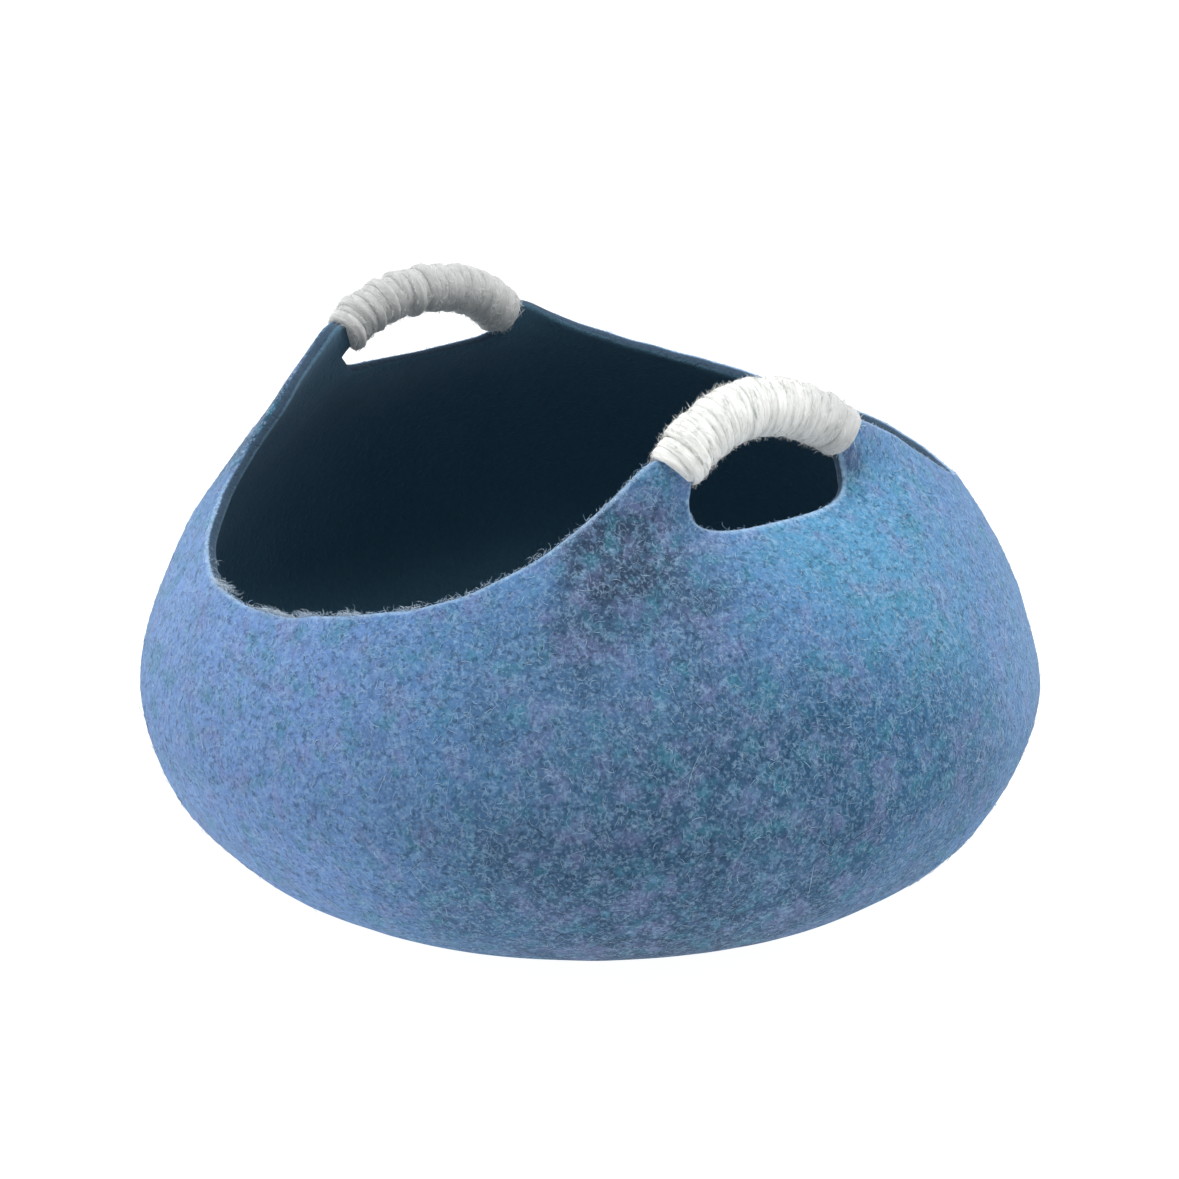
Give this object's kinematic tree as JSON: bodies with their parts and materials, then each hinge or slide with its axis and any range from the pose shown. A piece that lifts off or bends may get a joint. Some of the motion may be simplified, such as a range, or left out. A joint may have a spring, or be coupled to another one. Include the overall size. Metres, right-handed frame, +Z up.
{
  "type": "felt cat basket",
  "caption": "Round felted-wool cat basket with an open, dipping mouth, drawn-in sides and a yarn-wrapped hand grip over a slot at each side.",
  "frame": {"origin": "middle of the flat base, on the surface that the basket stands on", "axes": "+Z up; the two hand grips lie at +X and -X; the rim dips at -Y, the front, and at +Y, the back"},
  "size_m": [0.4488, 0.4496, 0.2742],
  "materials": {
    "blue_felt": "matt, marled wet-felted wool",
    "pale_yarn": "matt, fuzzy wound wool yarn"
  },
  "bodies": {
    "root": {"felt_bowl": "blue_felt", "grip_yarn_right": "pale_yarn", "grip_yarn_left": "pale_yarn"}
  },
  "joints": []
}
